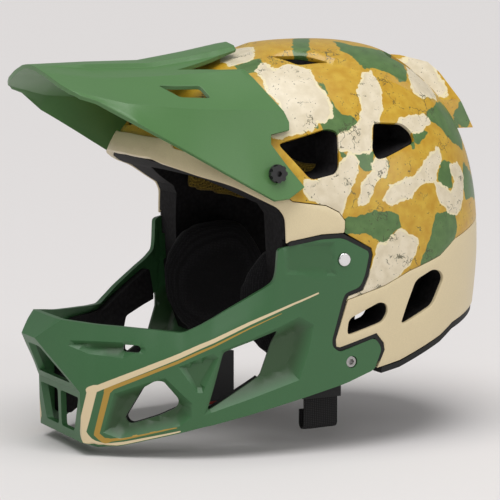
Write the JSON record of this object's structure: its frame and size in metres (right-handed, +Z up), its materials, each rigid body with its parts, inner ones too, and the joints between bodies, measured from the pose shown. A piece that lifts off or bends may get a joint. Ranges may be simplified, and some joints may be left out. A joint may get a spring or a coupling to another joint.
{
  "type": "motocross helmet",
  "caption": "Full-face helmet with vented two-tone shell, foam liner, slide-off chin bar, tilting visor, pads and ratchet-buckle chin strap.",
  "frame": {"origin": "middle of the wearer's head, between the ears", "axes": "+Z up as worn, the wearer looks along -Y, +X is the wearer's left"},
  "size_m": [0.217, 0.3266, 0.2688],
  "materials": {
    "printed_shell": "satin clear coat over a camouflage print",
    "plain_shell": "satin moulded cream",
    "visor_green": "satin moulded green",
    "chin_green": "satin moulded green with painted stripes",
    "foam": "moulded bead foam, matt black",
    "rubber": "matt",
    "chrome": "polished",
    "steel": "zinc plated",
    "black_plastic": "moulded nylon",
    "brass": "turned",
    "pad_fabric": "brushed knit over soft foam",
    "ochre_mesh": "open mesh over soft foam",
    "webbing": "woven nylon",
    "release_red": "moulded"
  },
  "bodies": {
    "shell": {"brow_pad": "pad_fabric", "buckle_case": "black_plastic", "buckle_pin": "steel", "buckle_tongue": "steel", "catch_clip_left": "steel", "catch_clip_right": "steel", "cheek_pad_left": "pad_fabric", "cheek_pad_right": "pad_fabric", "cheek_studs_left": "black_plastic", "cheek_studs_right": "black_plastic", "crown_pad": "pad_fabric", "foam_liner": "foam", "lower_shell": "plain_shell", "nape_pad": "pad_fabric", "neck_trim": "rubber", "rear_cover": "printed_shell", "strap_anchor_left": "steel", "strap_anchor_right": "steel", "strap_keeper": "rubber", "strap_left": "webbing", "strap_right": "webbing", "temple_pad_left": "ochre_mesh", "temple_pad_right": "ochre_mesh", "upper_shell": "printed_shell", "visor_insert_left": "brass", "visor_insert_right": "brass", "visor_washer_left": "black_plastic", "visor_washer_right": "black_plastic"},
    "chin_bar": {"chin_bar_shell": "chin_green", "chin_pad": "pad_fabric", "chin_bar_liner_left": "foam", "chin_bar_liner_right": "foam", "chin_seal_left": "rubber", "chin_seal_right": "rubber"},
    "visor": {"visor": "visor_green"},
    "release_button_left": {"release_button_left": "chrome"},
    "release_button_right": {"release_button_right": "chrome"},
    "lock_screw_left": {"lock_screw_left": "steel"},
    "lock_screw_right": {"lock_screw_right": "steel"},
    "visor_knob_left": {"visor_knob_left": "black_plastic"},
    "visor_knob_right": {"visor_knob_right": "black_plastic"},
    "buckle_lever": {"buckle_lever": "release_red"}
  },
  "joints": [
    {"name": "visor_tilt", "type": "hinge", "parent": "shell", "child": "visor", "pos_m": [0, -0.059, 0.073], "axis": [-1, 0, 0], "range_deg": [-5, 5]},
    {"name": "chin_bar_slide", "type": "slide", "parent": "shell", "child": "chin_bar", "axis": [0, -0.9537, -0.3007], "range_m": [0, 0.04]},
    {"name": "release_button_left_press", "type": "slide", "parent": "chin_bar", "child": "release_button_left", "axis": [-1, 0, 0], "range_m": [0, 0.0015], "stiffness_N_per_m": 600},
    {"name": "release_button_right_press", "type": "slide", "parent": "chin_bar", "child": "release_button_right", "axis": [1, 0, 0], "range_m": [0, 0.0015], "stiffness_N_per_m": 600},
    {"name": "lock_screw_left_turn", "type": "hinge", "parent": "chin_bar", "child": "lock_screw_left", "pos_m": [0.1, -0.0057, -0.0535], "axis": [1, 0, 0], "range_deg": [0, 90]},
    {"name": "lock_screw_right_turn", "type": "hinge", "parent": "chin_bar", "child": "lock_screw_right", "pos_m": [-0.1, -0.0057, -0.0535], "axis": [-1, 0, 0], "range_deg": [0, 90]},
    {"name": "visor_knob_left_turn", "type": "hinge", "parent": "visor", "child": "visor_knob_left", "pos_m": [0.1, -0.059, 0.073], "axis": [1, 0, 0], "range_deg": [0, 180]},
    {"name": "visor_knob_right_turn", "type": "hinge", "parent": "visor", "child": "visor_knob_right", "pos_m": [-0.1, -0.059, 0.073], "axis": [-1, 0, 0], "range_deg": [0, 180]},
    {"name": "buckle_lever_lift", "type": "hinge", "parent": "shell", "child": "buckle_lever", "pos_m": [-0.082, -0.0165, -0.087], "axis": [0, 1, 0], "range_deg": [0, 20], "stiffness_Nm_per_rad": 0.02}
  ]
}
